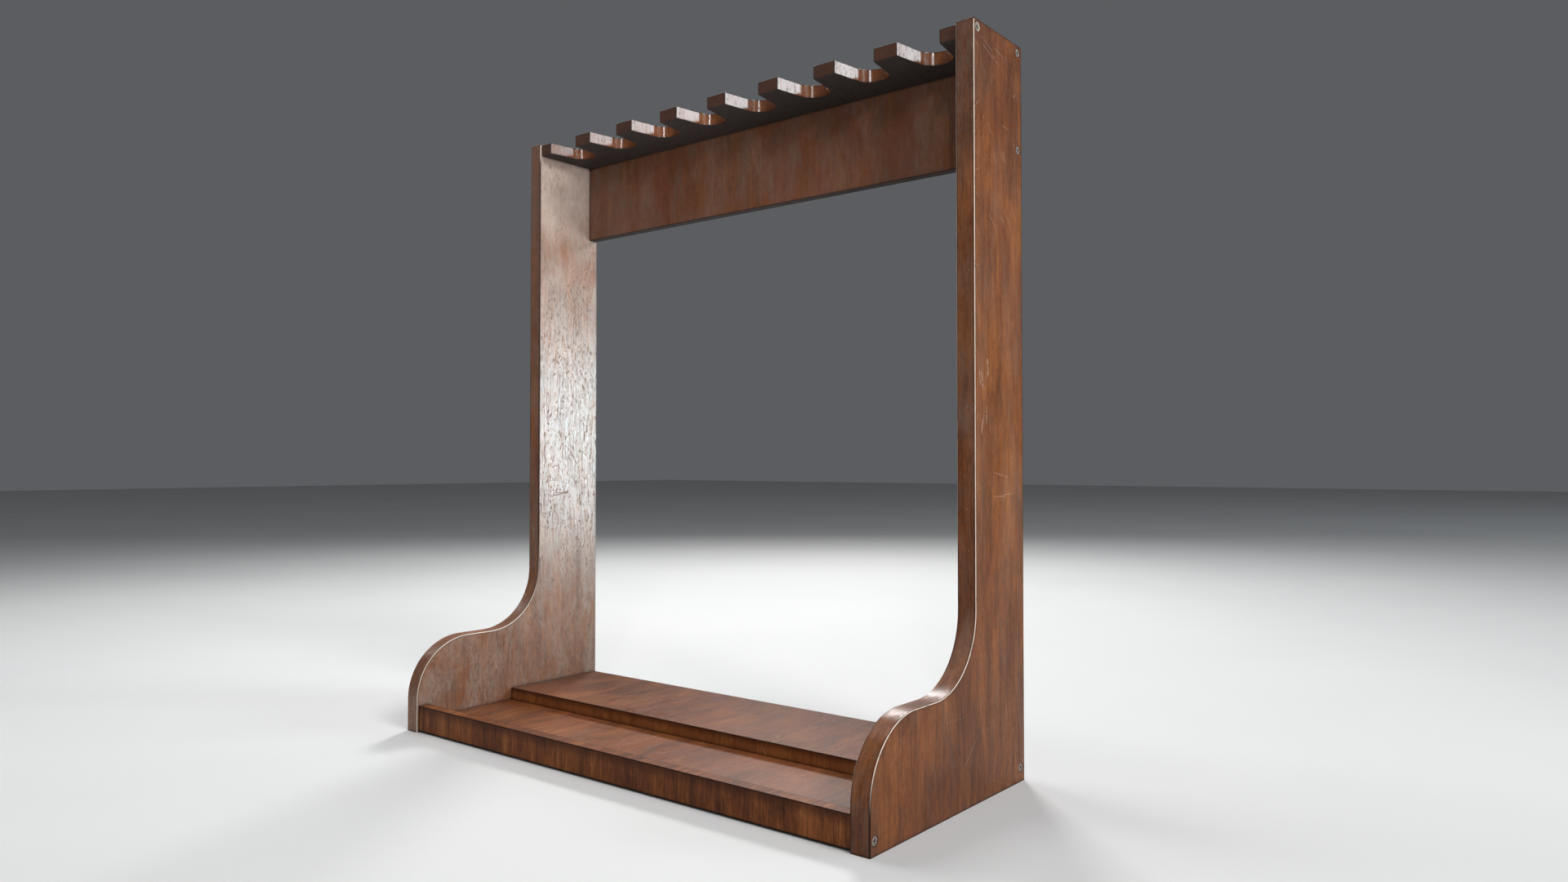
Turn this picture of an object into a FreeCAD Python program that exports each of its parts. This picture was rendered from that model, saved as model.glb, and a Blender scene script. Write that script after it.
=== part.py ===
import FreeCAD, Part
import math
import os

import Sketcher
from FreeCAD import Placement, Rotation, Vector

# Wall cue rack: two swept side panels, a notched shelf, a back rail and a three-board base,
# joined with countersunk screws and hidden dowels, and hung on two keyhole plates.
#
# Row frame: +X to the rack's right as seen from its front, +Y towards the wall, +Z up.
# The origin is under the middle of the rack, on the plane of the side panels' feet.
# Every wooden body is drawn with its own y = 0 on the back (wall) plane.

# Driving dimensions in millimetres: alias, value, meaning.
DIMENSIONS = (
    ("rack_height", 736.0, "side panel, foot to top"),
    ("inner_width", 619.0, "between the side panels"),
    ("foot_depth", 273.5, "side panel at the foot, back to front"),
    ("side_thickness", 20.0, "side panel board"),
    ("post_depth", 97.5, "upper part of the side panel, back to front"),
    ("shoulder_height", 106.5, "level part of the swept edge, above the foot"),
    ("cove_radius", 72.0, "hollow part of the swept edge"),
    ("nose_radius", 69.0, "round part of the swept edge"),
    ("side_arris", 1.6, "rounding of the side panel's front and top edges"),
    ("board_arris", 0.8, "rounding of the other boards' long edges"),
    ("shelf_depth", 95.0, "notched shelf, back to front"),
    ("shelf_thickness", 14.3, "notched shelf board"),
    ("shelf_drop", 1.8, "shelf's top below the side panels' top"),
    ("notch_count", 8, "cue notches"),
    ("notch_pitch", 76.2, "from one cue to the next"),
    ("notch_mouth", 48.4, "width of a notch at the shelf's front"),
    ("seat_radius", 19.4, "round seat at the end of a notch"),
    ("seat_setback", 65.4, "wall plane to the centre of a seat"),
    ("rail_thickness", 12.9, "back rail board"),
    ("rail_height", 98.4, "back rail, below the shelf"),
    ("foot_gap", 1.8, "base boards above the feet"),
    ("base_height", 29.0, "height of the lip and of the rear step"),
    ("step_depth", 139.0, "rear step, back to front"),
    ("tread_thickness", 14.2, "low board between lip and step"),
    ("lip_thickness", 14.0, "front lip, back to front"),
    ("lip_setback", 2.5, "lip's front behind the side panels' front"),
    ("screw_head", 8.0, "side screw head diameter"),
    ("screw_shank", 4.2, "side screw shank diameter"),
    ("screw_length", 38.0, "side screw, head included"),
    ("shelf_screw_length", 32.0, "screws into the shelf, head included"),
    ("screw_sink", 0.3, "screw heads below the wood"),
    ("screw_tip", 4.0, "length of a screw's point"),
    ("recess_span", 4.6, "cross recess, end to end"),
    ("recess_arm", 1.1, "cross recess, width of an arm"),
    ("recess_depth", 1.5, "cross recess, depth"),
    ("screw_clearance", 0.05, "radial gap around screws and dowels"),
    ("back_screw_inset", 7.2, "back screws from the wall plane"),
    ("shelf_front_screw_inset", 91.0, "shelf's front screw from the wall plane"),
    ("shelf_screw_drop", 8.0, "shelf screws below the side panels' top"),
    ("rail_screw_rise", 8.0, "rail screw above the rail's lower edge"),
    ("step_screw_height", 14.1, "step screw above the feet"),
    ("lip_screw_inset", 266.5, "lip screw from the wall plane"),
    ("lip_screw_height", 12.5, "lip screw above the feet"),
    ("dowel_diameter", 6.0, "hidden dowels"),
    ("dowel_length", 30.0, "hidden dowels"),
    ("dowel_chamfer", 0.8, "bevel at a dowel's ends"),
    ("bore_end_gap", 1.0, "free space at the end of a screw's or dowel's bore"),
    ("side_dowel_depth", 12.0, "dowels' reach into a side panel"),
    ("edge_dowel_depth", 9.0, "dowels' reach into the lip and the shelf"),
    ("rail_dowel_drop", 20.0, "rail's end dowel below the shelf"),
    ("step_dowel_inset", 112.0, "step's end dowel from the wall plane"),
    ("joint_dowel_count", 4, "dowels along a board-to-board joint"),
    ("joint_dowel_pitch", 160.0, "from one of those dowels to the next"),
    ("hanger_spacing", 406.4, "between the two keyhole plates"),
    ("plate_length", 50.0, "keyhole plate, end to end"),
    ("plate_width", 16.0, "keyhole plate"),
    ("plate_thickness", 1.6, "keyhole plate"),
    ("keyhole_entry", 9.5, "round entry of the keyhole, diameter"),
    ("keyhole_slot", 5.0, "width of the keyhole's slot"),
    ("keyhole_run", 10.0, "entry centre to the slot's end centre"),
    ("head_pocket_depth", 6.0, "room for the wall screw's head behind the plate"),
    ("head_pocket_width", 11.0, "room for the wall screw's head behind the plate"),
    ("plate_screw_pitch", 36.0, "between a plate's two screws"),
    ("plate_screw_head", 6.4, "plate screw head diameter"),
    ("plate_screw_shank", 3.2, "plate screw shank diameter"),
    ("plate_screw_length", 9.0, "plate screw, head included"),
    ("plate_recess_span", 3.6, "plate screw's cross recess, end to end"),
)

# Sizes worked out from the ones above, as spreadsheet formulas.
DERIVED = (
    ("half_inner", "inner_width / 2"),
    ("half_depth", "foot_depth / 2"),
    ("shelf_top", "rack_height - shelf_drop"),
    ("shelf_bottom", "shelf_top - shelf_thickness"),
    ("rail_bottom", "shelf_bottom - rail_height"),
    ("rail_middle", "rail_bottom + rail_height / 2"),
    ("base_middle", "foot_gap + base_height / 2"),
    ("tread_middle", "foot_gap + tread_thickness / 2"),
    ("lip_back", "foot_depth - lip_setback - lip_thickness"),
    ("screw_bore", "screw_shank + 2 * screw_clearance"),
    ("dowel_bore", "dowel_diameter + 2 * screw_clearance"),
    ("countersink", "screw_head + 2 * (screw_sink + 2 * screw_clearance)"),
    ("plate_countersink", "plate_screw_head + 4 * screw_clearance"),
    ("plate_bore", "plate_screw_shank + 2 * screw_clearance"),
    ("plate_hole", "plate_screw_shank + 6 * screw_clearance"),
    ("screw_reach", "screw_length - side_thickness + screw_sink + bore_end_gap"),
    ("shelf_screw_reach", "shelf_screw_length - side_thickness + screw_sink + bore_end_gap"),
    ("plate_screw_reach", "plate_screw_length + bore_end_gap"),
    ("side_bore_depth", "side_dowel_depth + bore_end_gap"),
    ("end_bore_depth", "dowel_length - side_dowel_depth + bore_end_gap"),
    ("edge_bore_depth", "edge_dowel_depth + bore_end_gap"),
    ("edge_mate_depth", "dowel_length - edge_dowel_depth + bore_end_gap"),
    ("half_bore_depth", "dowel_length / 2 + bore_end_gap"),
)

LEFT = -1
RIGHT = 1
SIDE_NAMES = {LEFT: "left", RIGHT: "right"}
COUNTERSINK_ANGLE = 90.0
QUARTER_TURN = math.pi / 2
TOLERANCE = 1e-4

doc = FreeCAD.newDocument("wall_cue_rack")
sheet = doc.addObject("Spreadsheet::Sheet", "Sizes")


def fill_sheet():
    """Write the driving dimensions and the derived sizes into the spreadsheet."""
    row = 1
    for alias, value, meaning in DIMENSIONS:
        sheet.set(f"A{row}", alias)
        sheet.set(f"B{row}", str(value))
        sheet.setAlias(f"B{row}", alias)
        sheet.set(f"C{row}", meaning)
        row += 1
    for alias, formula in DERIVED:
        sheet.set(f"A{row}", alias)
        sheet.set(f"B{row}", "=" + formula)
        sheet.setAlias(f"B{row}", alias)
        row += 1
    doc.recompute()


def size(alias):
    """The number that a cell of the sheet holds now."""
    return float(sheet.get(alias))


def on_sheet(formula):
    """An expression over aliases, with each alias made to point at the sheet."""
    words = formula.replace("(", " ( ").replace(")", " ) ").split()
    known = {entry[0] for entry in DIMENSIONS} | {entry[0] for entry in DERIVED}
    return " ".join("Sizes." + word if word in known else word for word in words)


def value_of(formula):
    """The number that such an expression has now."""
    return float(sheet.evalExpression(on_sheet(formula)))


def bind(thing, prop, formula):
    """Drive a property from the sheet."""
    thing.setExpression(prop, on_sheet(formula))


# ---------------------------------------------------------------- bodies and sketches

finished_bodies = []


def new_body(name):
    """A body whose label names the piece and its file."""
    body = doc.addObject("PartDesign::Body", name)
    body.Label = name
    finished_bodies.append(body)
    return body


def place(body, x="0", y="0", z="0", rotation=None):
    """Put a body in the row frame, each coordinate a formula over the sheet."""
    start = Vector(value_of(x), value_of(y), value_of(z))
    body.Placement = Placement(start, rotation or Rotation())
    bind(body, "Placement.Base.x", x)
    bind(body, "Placement.Base.y", y)
    bind(body, "Placement.Base.z", z)


def origin_plane(body, role):
    """One of the body's own origin planes, such as XY_Plane."""
    return next(item for item in body.Origin.OriginFeatures if item.Role == role)


def new_sketch(body, name, role, offset=None):
    """A sketch on an origin plane, moved along its normal by a formula over the sheet."""
    sketch = body.newObject("Sketcher::SketchObject", name)
    sketch.AttachmentSupport = [(origin_plane(body, role), "")]
    sketch.MapMode = "FlatFace"
    if offset:
        bind(sketch, "AttachmentOffset.Base.z", offset)
    return sketch


def drive(sketch, name, formula, *constraint):
    """Add a dimension to a sketch and bind it to the sheet."""
    index = sketch.addConstraint(Sketcher.Constraint(*constraint, value_of(formula)))
    sketch.renameConstraint(index, name)
    bind(sketch, "Constraints." + name, formula)


def add_line(sketch, start, end):
    """A straight line between two points of the sketch plane."""
    return sketch.addGeometry(Part.LineSegment(Vector(*start, 0), Vector(*end, 0)), False)


def add_circle(sketch, name, across, up, diameter):
    """A circle placed from the sketch's origin; a negative offset is written as "-(...)"."""
    centre = Vector(value_of(across), value_of(up), 0)
    radius = value_of(diameter) / 2
    circle = sketch.addGeometry(Part.Circle(centre, Vector(0, 0, 1), radius), False)
    drive(sketch, name + "_size", diameter, "Diameter", circle)
    for axis, formula in (("X", across), ("Y", up)):
        label = f"{name}_{axis.lower()}"
        number = value_of(formula)
        if abs(number) < TOLERANCE:
            on_axis = -2 if axis == "X" else -1
            sketch.addConstraint(Sketcher.Constraint("PointOnObject", circle, 3, on_axis))
        elif number > 0:
            drive(sketch, label, formula, "Distance" + axis, -1, 1, circle, 3)
        else:
            drive(sketch, label, f"-1 * ( {formula} )", "Distance" + axis, circle, 3, -1, 1)


def add_rectangle(sketch, name, left, right, bottom, top):
    """A rectangle whose four sides are placed from the sketch's origin."""
    x0, x1, y0, y1 = (value_of(edge) for edge in (left, right, bottom, top))
    first = add_line(sketch, (x0, y0), (x1, y0))
    add_line(sketch, (x1, y0), (x1, y1))
    add_line(sketch, (x1, y1), (x0, y1))
    add_line(sketch, (x0, y1), (x0, y0))
    for step in range(4):
        here = first + step
        after = first + (step + 1) % 4
        sketch.addConstraint(Sketcher.Constraint("Coincident", here, 2, after, 1))
        kind = "Horizontal" if step % 2 == 0 else "Vertical"
        sketch.addConstraint(Sketcher.Constraint(kind, here))
    corners = (("left", "X", first, left), ("bottom", "Y", first, bottom),
               ("right", "X", first + 2, right), ("top", "Y", first + 2, top))
    for edge, axis, line, formula in corners:
        label = f"{name}_{edge}"
        number = value_of(formula)
        if abs(number) < TOLERANCE:
            on_axis = -2 if axis == "X" else -1
            sketch.addConstraint(Sketcher.Constraint("PointOnObject", line, 1, on_axis))
        elif number > 0:
            drive(sketch, label, formula, "Distance" + axis, -1, 1, line, 1)
        else:
            drive(sketch, label, f"-1 * ( {formula} )", "Distance" + axis, line, 1, -1, 1)


def pad(body, name, sketch, length, reverse=False):
    """Add material from a sketch."""
    feature = body.newObject("PartDesign::Pad", name)
    feature.Profile = (sketch, [""])
    feature.Reversed = reverse
    bind(feature, "Length", length)
    doc.recompute()
    return feature


def cuts(body, before):
    """Stop if the last feature of a body took no material away."""
    if body.Shape.Volume > before - TOLERANCE:
        raise RuntimeError(f"{body.Tip.Label} on {body.Label} cuts nothing")


def pocket(body, name, sketch, depth, reverse=False):
    """Take material away from a sketch, to a depth."""
    before = body.Shape.Volume
    feature = body.newObject("PartDesign::Pocket", name)
    feature.Profile = (sketch, [""])
    feature.Reversed = reverse
    bind(feature, "Length", depth)
    doc.recompute()
    cuts(body, before)
    return feature


def through_pocket(body, name, sketch):
    """Take material away right through, both ways from the sketch."""
    before = body.Shape.Volume
    feature = body.newObject("PartDesign::Pocket", name)
    feature.Profile = (sketch, [""])
    feature.Type = "ThroughAll"
    feature.Midplane = True
    doc.recompute()
    cuts(body, before)
    return feature


def countersunk_holes(body, name, sketch, bore, head, reverse):
    """Countersunk clearance holes right through, one at each circle of the sketch."""
    doc.recompute()
    before = body.Shape.Volume
    hole = body.newObject("PartDesign::Hole", name)
    hole.Profile = (sketch, [""])
    hole.Reversed = reverse
    hole.Threaded = False
    hole.DepthType = "ThroughAll"
    hole.HoleCutType = "Countersink"
    hole.HoleCutCustomValues = True
    hole.HoleCutCountersinkAngle = COUNTERSINK_ANGLE
    bind(hole, "Diameter", bore)
    bind(hole, "HoleCutDiameter", head)
    doc.recompute()
    cuts(body, before)
    return hole


def mirror_across(body, name, features):
    """Repeat features of the right half on the left half."""
    before = body.Shape.Volume
    mirrored = body.newObject("PartDesign::Mirrored", name)
    mirrored.Originals = features
    mirrored.MirrorPlane = (origin_plane(body, "YZ_Plane"), [""])
    body.Tip = mirrored
    doc.recompute()
    cuts(body, before)
    return mirrored


def repeat_along_x(body, name, features, count, pitch):
    """Repeat features along the rack, from left to right."""
    before = body.Shape.Volume
    pattern = body.newObject("PartDesign::LinearPattern", name)
    pattern.Originals = features
    pattern.Direction = (origin_plane(body, "YZ_Plane"), [""])
    bind(pattern, "Occurrences", count)
    bind(pattern, "Length", f"( {count} - 1 ) * {pitch}")
    body.Tip = pattern
    doc.recompute()
    cuts(body, before)
    return pattern


def round_edges(body, name, base, wanted, radius):
    """Round the edges of a feature that the given test picks."""
    names = []
    for index, edge in enumerate(base.Shape.Edges, start=1):
        if wanted(edge):
            names.append(f"Edge{index}")
    before = body.Shape.Volume
    feature = body.newObject("PartDesign::Fillet", name)
    feature.Base = (base, names)
    bind(feature, "Radius", radius)
    doc.recompute()
    cuts(body, before)
    return feature


def runs_along_x(edge):
    """True for a straight edge along the length of the rack."""
    if not isinstance(edge.Curve, Part.Line):
        return False
    return abs(abs(edge.tangentAt(edge.FirstParameter).x) - 1) < TOLERANCE


# ---------------------------------------------------------------- side panels

def sketch_side_outline(body):
    """Post, cove, level shoulder, nose and foot, as seen from the side."""
    height = size("rack_height")
    post = size("post_depth")
    foot = size("foot_depth")
    shoulder = size("shoulder_height")
    cove = size("cove_radius")
    nose = size("nose_radius")
    sketch = new_sketch(body, body.Label + "_outline", "YZ_Plane")
    upward = Vector(0, 0, 1)
    cove_circle = Part.Circle(Vector(-post - cove, shoulder + cove, 0), upward, cove)
    nose_circle = Part.Circle(Vector(nose - foot, shoulder - nose, 0), upward, nose)
    back = add_line(sketch, (0, 0), (0, height))
    top = add_line(sketch, (0, height), (-post, height))
    front = add_line(sketch, (-post, height), (-post, shoulder + cove))
    hollow = sketch.addGeometry(Part.ArcOfCircle(cove_circle, 3 * QUARTER_TURN, 4 * QUARTER_TURN), False)
    level = add_line(sketch, (-post - cove, shoulder), (nose - foot, shoulder))
    round_nose = sketch.addGeometry(Part.ArcOfCircle(nose_circle, QUARTER_TURN, 2 * QUARTER_TURN), False)
    toe = add_line(sketch, (-foot, shoulder - nose), (-foot, 0))
    sole = add_line(sketch, (-foot, 0), (0, 0))
    joins = (
        ("Coincident", back, 1, -1, 1),
        ("Coincident", back, 2, top, 1),
        ("Coincident", top, 2, front, 1),
        ("Tangent", front, 2, hollow, 2),
        ("Tangent", hollow, 1, level, 1),
        ("Tangent", level, 2, round_nose, 1),
        ("Tangent", round_nose, 2, toe, 1),
        ("Coincident", toe, 2, sole, 1),
        ("Coincident", sole, 2, back, 1),
        ("Vertical", back),
        ("Vertical", front),
        ("Vertical", toe),
        ("Horizontal", top),
        ("Horizontal", level),
        ("Horizontal", sole),
    )
    for join in joins:
        sketch.addConstraint(Sketcher.Constraint(*join))
    drive(sketch, "height", "rack_height", "DistanceY", back, 1, back, 2)
    drive(sketch, "post", "post_depth", "DistanceX", top, 2, top, 1)
    drive(sketch, "foot", "foot_depth", "DistanceX", sole, 1, sole, 2)
    drive(sketch, "shoulder", "shoulder_height", "DistanceY", -1, 1, level, 1)
    drive(sketch, "cove", "cove_radius", "Radius", hollow)
    drive(sketch, "nose", "nose_radius", "Radius", round_nose)
    return sketch


def side_panel(side):
    """One side panel, drawn on its outer face, which is the body's own x = 0."""
    name = SIDE_NAMES[side] + "_side_panel"
    inward = side == LEFT
    body = new_body(name)
    outline = sketch_side_outline(body)
    board = pad(body, name + "_board", outline, "side_thickness", reverse=not inward)
    height = size("rack_height")

    def on_front_or_top(edge):
        """Edges around the front and the top, but not those on the wall or the foot."""
        if abs(edge.BoundBox.XLength) > TOLERANCE:
            return edge.BoundBox.ZMin > height - TOLERANCE and edge.BoundBox.YMin < -TOLERANCE
        on_wall = edge.BoundBox.YMin > -TOLERANCE
        on_foot = edge.BoundBox.ZMax < TOLERANCE
        return not on_wall and not on_foot

    round_edges(body, name + "_arris", board, on_front_or_top, "side_arris")

    screws = new_sketch(body, name + "_screw_marks", "YZ_Plane")
    for screw, (inset, rise, _length) in SIDE_SCREWS.items():
        add_circle(screws, screw, f"-1 * {inset}", rise, "screw_bore")
    countersunk_holes(body, name + "_screw_holes", screws, "screw_bore", "countersink", inward)

    inner_face = "side_thickness" if inward else "-1 * side_thickness"
    dowels = new_sketch(body, name + "_dowel_marks", "YZ_Plane", inner_face)
    for dowel, (inset, rise) in SIDE_DOWELS.items():
        add_circle(dowels, dowel, f"-1 * {inset}", rise, "dowel_bore")
    pocket(body, name + "_dowel_holes", dowels, "side_bore_depth", reverse=not inward)

    outer_face = f"{side} * ( half_inner + side_thickness )"
    place(body, x=outer_face, y="half_depth")


# Screws through each side panel: distance from the wall, height above the feet, screw length.
SIDE_SCREWS = {
    "shelf_front_screw": ("shelf_front_screw_inset", "rack_height - shelf_screw_drop",
                          "shelf_screw_length"),
    "shelf_back_screw": ("back_screw_inset", "rack_height - shelf_screw_drop",
                         "shelf_screw_length"),
    "rail_screw": ("back_screw_inset", "rail_bottom + rail_screw_rise", "screw_length"),
    "step_screw": ("back_screw_inset", "step_screw_height", "screw_length"),
    "lip_screw": ("lip_screw_inset", "lip_screw_height", "screw_length"),
}

# Dowels between each side panel and a board's end: distance from the wall, height.
SIDE_DOWELS = {
    "rail_end_dowel": ("rail_thickness / 2", "shelf_bottom - rail_dowel_drop"),
    "step_end_dowel": ("step_dowel_inset", "base_middle"),
    "tread_end_dowel": ("( step_depth + lip_back ) / 2", "tread_middle"),
}


# ---------------------------------------------------------------- boards between the sides

def board_blank(name, back, front, thickness, lift):
    """A board across the rack with its long edges rounded; back and front from the wall."""
    body = new_body(name)
    outline = new_sketch(body, name + "_outline", "XY_Plane")
    add_rectangle(outline, "board", "-1 * half_inner", "half_inner",
                  f"-1 * {front}", f"-1 * {back}")
    blank = pad(body, name + "_board", outline, thickness)
    place(body, y="half_depth", z=lift)
    return body, blank


def end_bores(body, marks, lift):
    """Holes in both ends of a board: name, distance from the wall, height, bore, depth."""
    features = []
    for mark, inset, rise, bore, depth in marks:
        label = f"{body.Label}_{mark}"
        sketch = new_sketch(body, label + "_mark", "YZ_Plane", "half_inner")
        add_circle(sketch, mark, f"-1 * {inset}", f"{rise} - {lift}", bore)
        features.append(pocket(body, label + "_bore", sketch, depth))
    mirror_across(body, body.Label + "_other_end", features)


def joint_bores(body, label, role, offset, up, depth, reverse):
    """The row of dowel holes along a board-to-board joint."""
    sketch = new_sketch(body, label + "_mark", role, offset)
    first = "-1 * ( joint_dowel_count - 1 ) * joint_dowel_pitch / 2"
    add_circle(sketch, "first", first, up, "dowel_bore")
    bore = pocket(body, label + "_bore", sketch, depth, reverse)
    repeat_along_x(body, label + "_row", [bore], "joint_dowel_count", "joint_dowel_pitch")


def cue_notch_shelf():
    """The shelf: notches open at the front, narrowing to a round seat for the cue's shaft."""
    body, blank = board_blank("cue_notch_shelf", "0", "shelf_depth", "shelf_thickness",
                              "shelf_bottom")
    notch = sketch_notch(body)
    cut = through_pocket(body, "first_notch", notch)
    row = repeat_along_x(body, "notch_row", [cut], "notch_count", "notch_pitch")
    thickness = size("shelf_thickness")
    half_inner = size("half_inner")

    def on_a_face(edge):
        """Edges of the top and the underside, but not those at the side panels."""
        flat = edge.BoundBox.ZLength < TOLERANCE
        outside = edge.BoundBox.ZMin < TOLERANCE or edge.BoundBox.ZMax > thickness - TOLERANCE
        at_side = min(abs(edge.BoundBox.XMin), abs(edge.BoundBox.XMax)) > half_inner - TOLERANCE
        at_back = edge.BoundBox.YMin > -TOLERANCE
        return flat and outside and not at_side and not at_back

    round_edges(body, "shelf_arris", row, on_a_face, "board_arris")
    end_bores(body, (
        ("front_screw", "shelf_front_screw_inset", "rack_height - shelf_screw_drop",
         "screw_bore", "shelf_screw_reach"),
        ("back_screw", "back_screw_inset", "rack_height - shelf_screw_drop",
         "screw_bore", "shelf_screw_reach"),
    ), "shelf_bottom")
    joint_bores(body, "shelf_joint", "XY_Plane", None, "-1 * rail_thickness / 2",
                "edge_bore_depth", True)


def sketch_notch(body):
    """The first notch from the left: mouth, two sides tangent to the seat."""
    sketch = new_sketch(body, "notch_outline", "XY_Plane")
    middle = -(size("notch_count") - 1) * size("notch_pitch") / 2
    half_mouth = size("notch_mouth") / 2
    front = -size("shelf_depth")
    seat = -size("seat_setback")
    radius = size("seat_radius")
    mouth = add_line(sketch, (middle - half_mouth, front), (middle + half_mouth, front))
    right = add_line(sketch, (middle + half_mouth, front), (middle + radius, seat))
    circle = Part.Circle(Vector(middle, seat, 0), Vector(0, 0, 1), radius)
    end = sketch.addGeometry(Part.ArcOfCircle(circle, 0, math.pi), False)
    left = add_line(sketch, (middle - radius, seat), (middle - half_mouth, front))
    joins = (
        ("Coincident", mouth, 2, right, 1),
        ("Tangent", right, 2, end, 1),
        ("Tangent", end, 2, left, 1),
        ("Coincident", left, 2, mouth, 1),
        ("Horizontal", mouth),
    )
    for join in joins:
        sketch.addConstraint(Sketcher.Constraint(*join))
    first = "( notch_count - 1 ) * notch_pitch / 2"
    drive(sketch, "mouth", "notch_mouth", "DistanceX", mouth, 1, mouth, 2)
    drive(sketch, "front", "shelf_depth", "DistanceY", mouth, 1, -1, 1)
    drive(sketch, "seat", "seat_radius", "Radius", end)
    drive(sketch, "setback", "seat_setback", "DistanceY", end, 3, -1, 1)
    drive(sketch, "first", first, "DistanceX", end, 3, -1, 1)
    drive(sketch, "centred", f"{first} - notch_mouth / 2", "DistanceX", mouth, 2, -1, 1)
    return sketch


def stadium(sketch, name, across, bottom, top, width):
    """A slot with round ends: two centres above each other, and a width."""
    x = value_of(across)
    low = value_of(bottom)
    high = value_of(top)
    radius = value_of(width) / 2
    upward = Vector(0, 0, 1)
    upper_circle = Part.Circle(Vector(x, high, 0), upward, radius)
    lower_circle = Part.Circle(Vector(x, low, 0), upward, radius)
    upper = sketch.addGeometry(Part.ArcOfCircle(upper_circle, 0, math.pi), False)
    left = add_line(sketch, (x - radius, high), (x - radius, low))
    lower = sketch.addGeometry(Part.ArcOfCircle(lower_circle, math.pi, 2 * math.pi), False)
    right = add_line(sketch, (x + radius, low), (x + radius, high))
    for join in ((upper, 2, left, 1), (left, 2, lower, 1), (lower, 2, right, 1),
                 (right, 2, upper, 1)):
        sketch.addConstraint(Sketcher.Constraint("Tangent", *join))
    sketch.addConstraint(Sketcher.Constraint("Vertical", left))
    drive(sketch, name + "_width", f"{width} / 2", "Radius", upper)
    for label, arc, formula in (("top", upper, top), ("bottom", lower, bottom)):
        number = value_of(formula)
        ends = (-1, 1, arc, 3) if number > 0 else (arc, 3, -1, 1)
        signed = formula if number > 0 else f"-1 * ( {formula} )"
        drive(sketch, f"{name}_{label}", signed, "DistanceY", *ends)
    if abs(x) < TOLERANCE:
        sketch.addConstraint(Sketcher.Constraint("PointOnObject", upper, 3, -2))
    elif x > 0:
        drive(sketch, name + "_across", across, "DistanceX", -1, 1, upper, 3)
    else:
        drive(sketch, name + "_across", f"-1 * ( {across} )", "DistanceX", upper, 3, -1, 1)


def back_rail():
    """The rail that hangs the rack: dowels up into the shelf, keyhole plates in its back."""
    body, blank = board_blank("back_rail", "0", "rail_thickness", "rail_height", "rail_bottom")

    def lower_or_front(edge):
        """Both long edges of the underside; the top edges meet the shelf."""
        return runs_along_x(edge) and edge.BoundBox.ZMax < TOLERANCE

    round_edges(body, "rail_arris", blank, lower_or_front, "board_arris")
    end_bores(body, (
        ("screw", "back_screw_inset", "rail_bottom + rail_screw_rise",
         "screw_bore", "screw_reach"),
        ("dowel", "rail_thickness / 2", "shelf_bottom - rail_dowel_drop",
         "dowel_bore", "end_bore_depth"),
    ), "rail_bottom")
    joint_bores(body, "rail_joint", "XY_Plane", "rail_height", "-1 * rail_thickness / 2",
                "edge_mate_depth", False)

    seat = new_sketch(body, "plate_seat_outline", "XZ_Plane")
    stadium(seat, "seat", "hanger_spacing / 2",
            "rail_height / 2 - ( plate_length - plate_width ) / 2",
            "rail_height / 2 + ( plate_length - plate_width ) / 2",
            "( plate_width + 4 * screw_clearance )")
    features = [pocket(body, "plate_seat", seat, "plate_thickness", True)]
    room = new_sketch(body, "head_pocket_outline", "XZ_Plane")
    stadium(room, "room", "hanger_spacing / 2",
            "rail_height / 2 - keyhole_run / 2", "rail_height / 2 + keyhole_run / 2",
            "head_pocket_width")
    features.append(pocket(body, "head_pocket", room, "plate_thickness + head_pocket_depth",
                           True))
    pilots = new_sketch(body, "plate_screw_marks", "XZ_Plane")
    for label, sign in (("lower", "-"), ("upper", "+")):
        add_circle(pilots, label, "hanger_spacing / 2",
                   f"rail_height / 2 {sign} plate_screw_pitch / 2", "plate_bore")
    features.append(pocket(body, "plate_screw_bores", pilots, "plate_screw_reach", True))
    mirror_across(body, "left_plate_seat", features)


def front_lip():
    """The lip that keeps the cue butts on the base."""
    body, blank = board_blank("front_lip", "lip_back", "( lip_back + lip_thickness )",
                              "base_height", "foot_gap")
    round_edges(body, "lip_arris", blank, runs_along_x, "board_arris")
    end_bores(body, (
        ("screw", "lip_screw_inset", "lip_screw_height", "screw_bore", "screw_reach"),
    ), "foot_gap")
    joint_bores(body, "lip_joint", "XZ_Plane", "lip_back", "tread_thickness / 2",
                "edge_bore_depth", True)


def rear_step():
    """The raised board at the back of the base."""
    body, blank = board_blank("rear_step", "0", "step_depth", "base_height", "foot_gap")
    round_edges(body, "step_arris", blank, runs_along_x, "board_arris")
    end_bores(body, (
        ("screw", "back_screw_inset", "step_screw_height", "screw_bore", "screw_reach"),
        ("dowel", "step_dowel_inset", "base_middle", "dowel_bore", "end_bore_depth"),
    ), "foot_gap")
    joint_bores(body, "step_joint", "XZ_Plane", "step_depth", "tread_thickness / 2",
                "half_bore_depth", False)


def tread_board():
    """The low board that the cue butts stand on, between lip and step."""
    body, _blank = board_blank("tread_board", "step_depth", "lip_back", "tread_thickness",
                               "foot_gap")
    end_bores(body, (
        ("dowel", "( step_depth + lip_back ) / 2", "tread_middle",
         "dowel_bore", "end_bore_depth"),
    ), "foot_gap")
    joint_bores(body, "tread_front_joint", "XZ_Plane", "lip_back", "tread_thickness / 2",
                "edge_mate_depth", False)
    joint_bores(body, "tread_back_joint", "XZ_Plane", "step_depth", "tread_thickness / 2",
                "half_bore_depth", True)


# ---------------------------------------------------------------- screws, dowels, hangers

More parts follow.
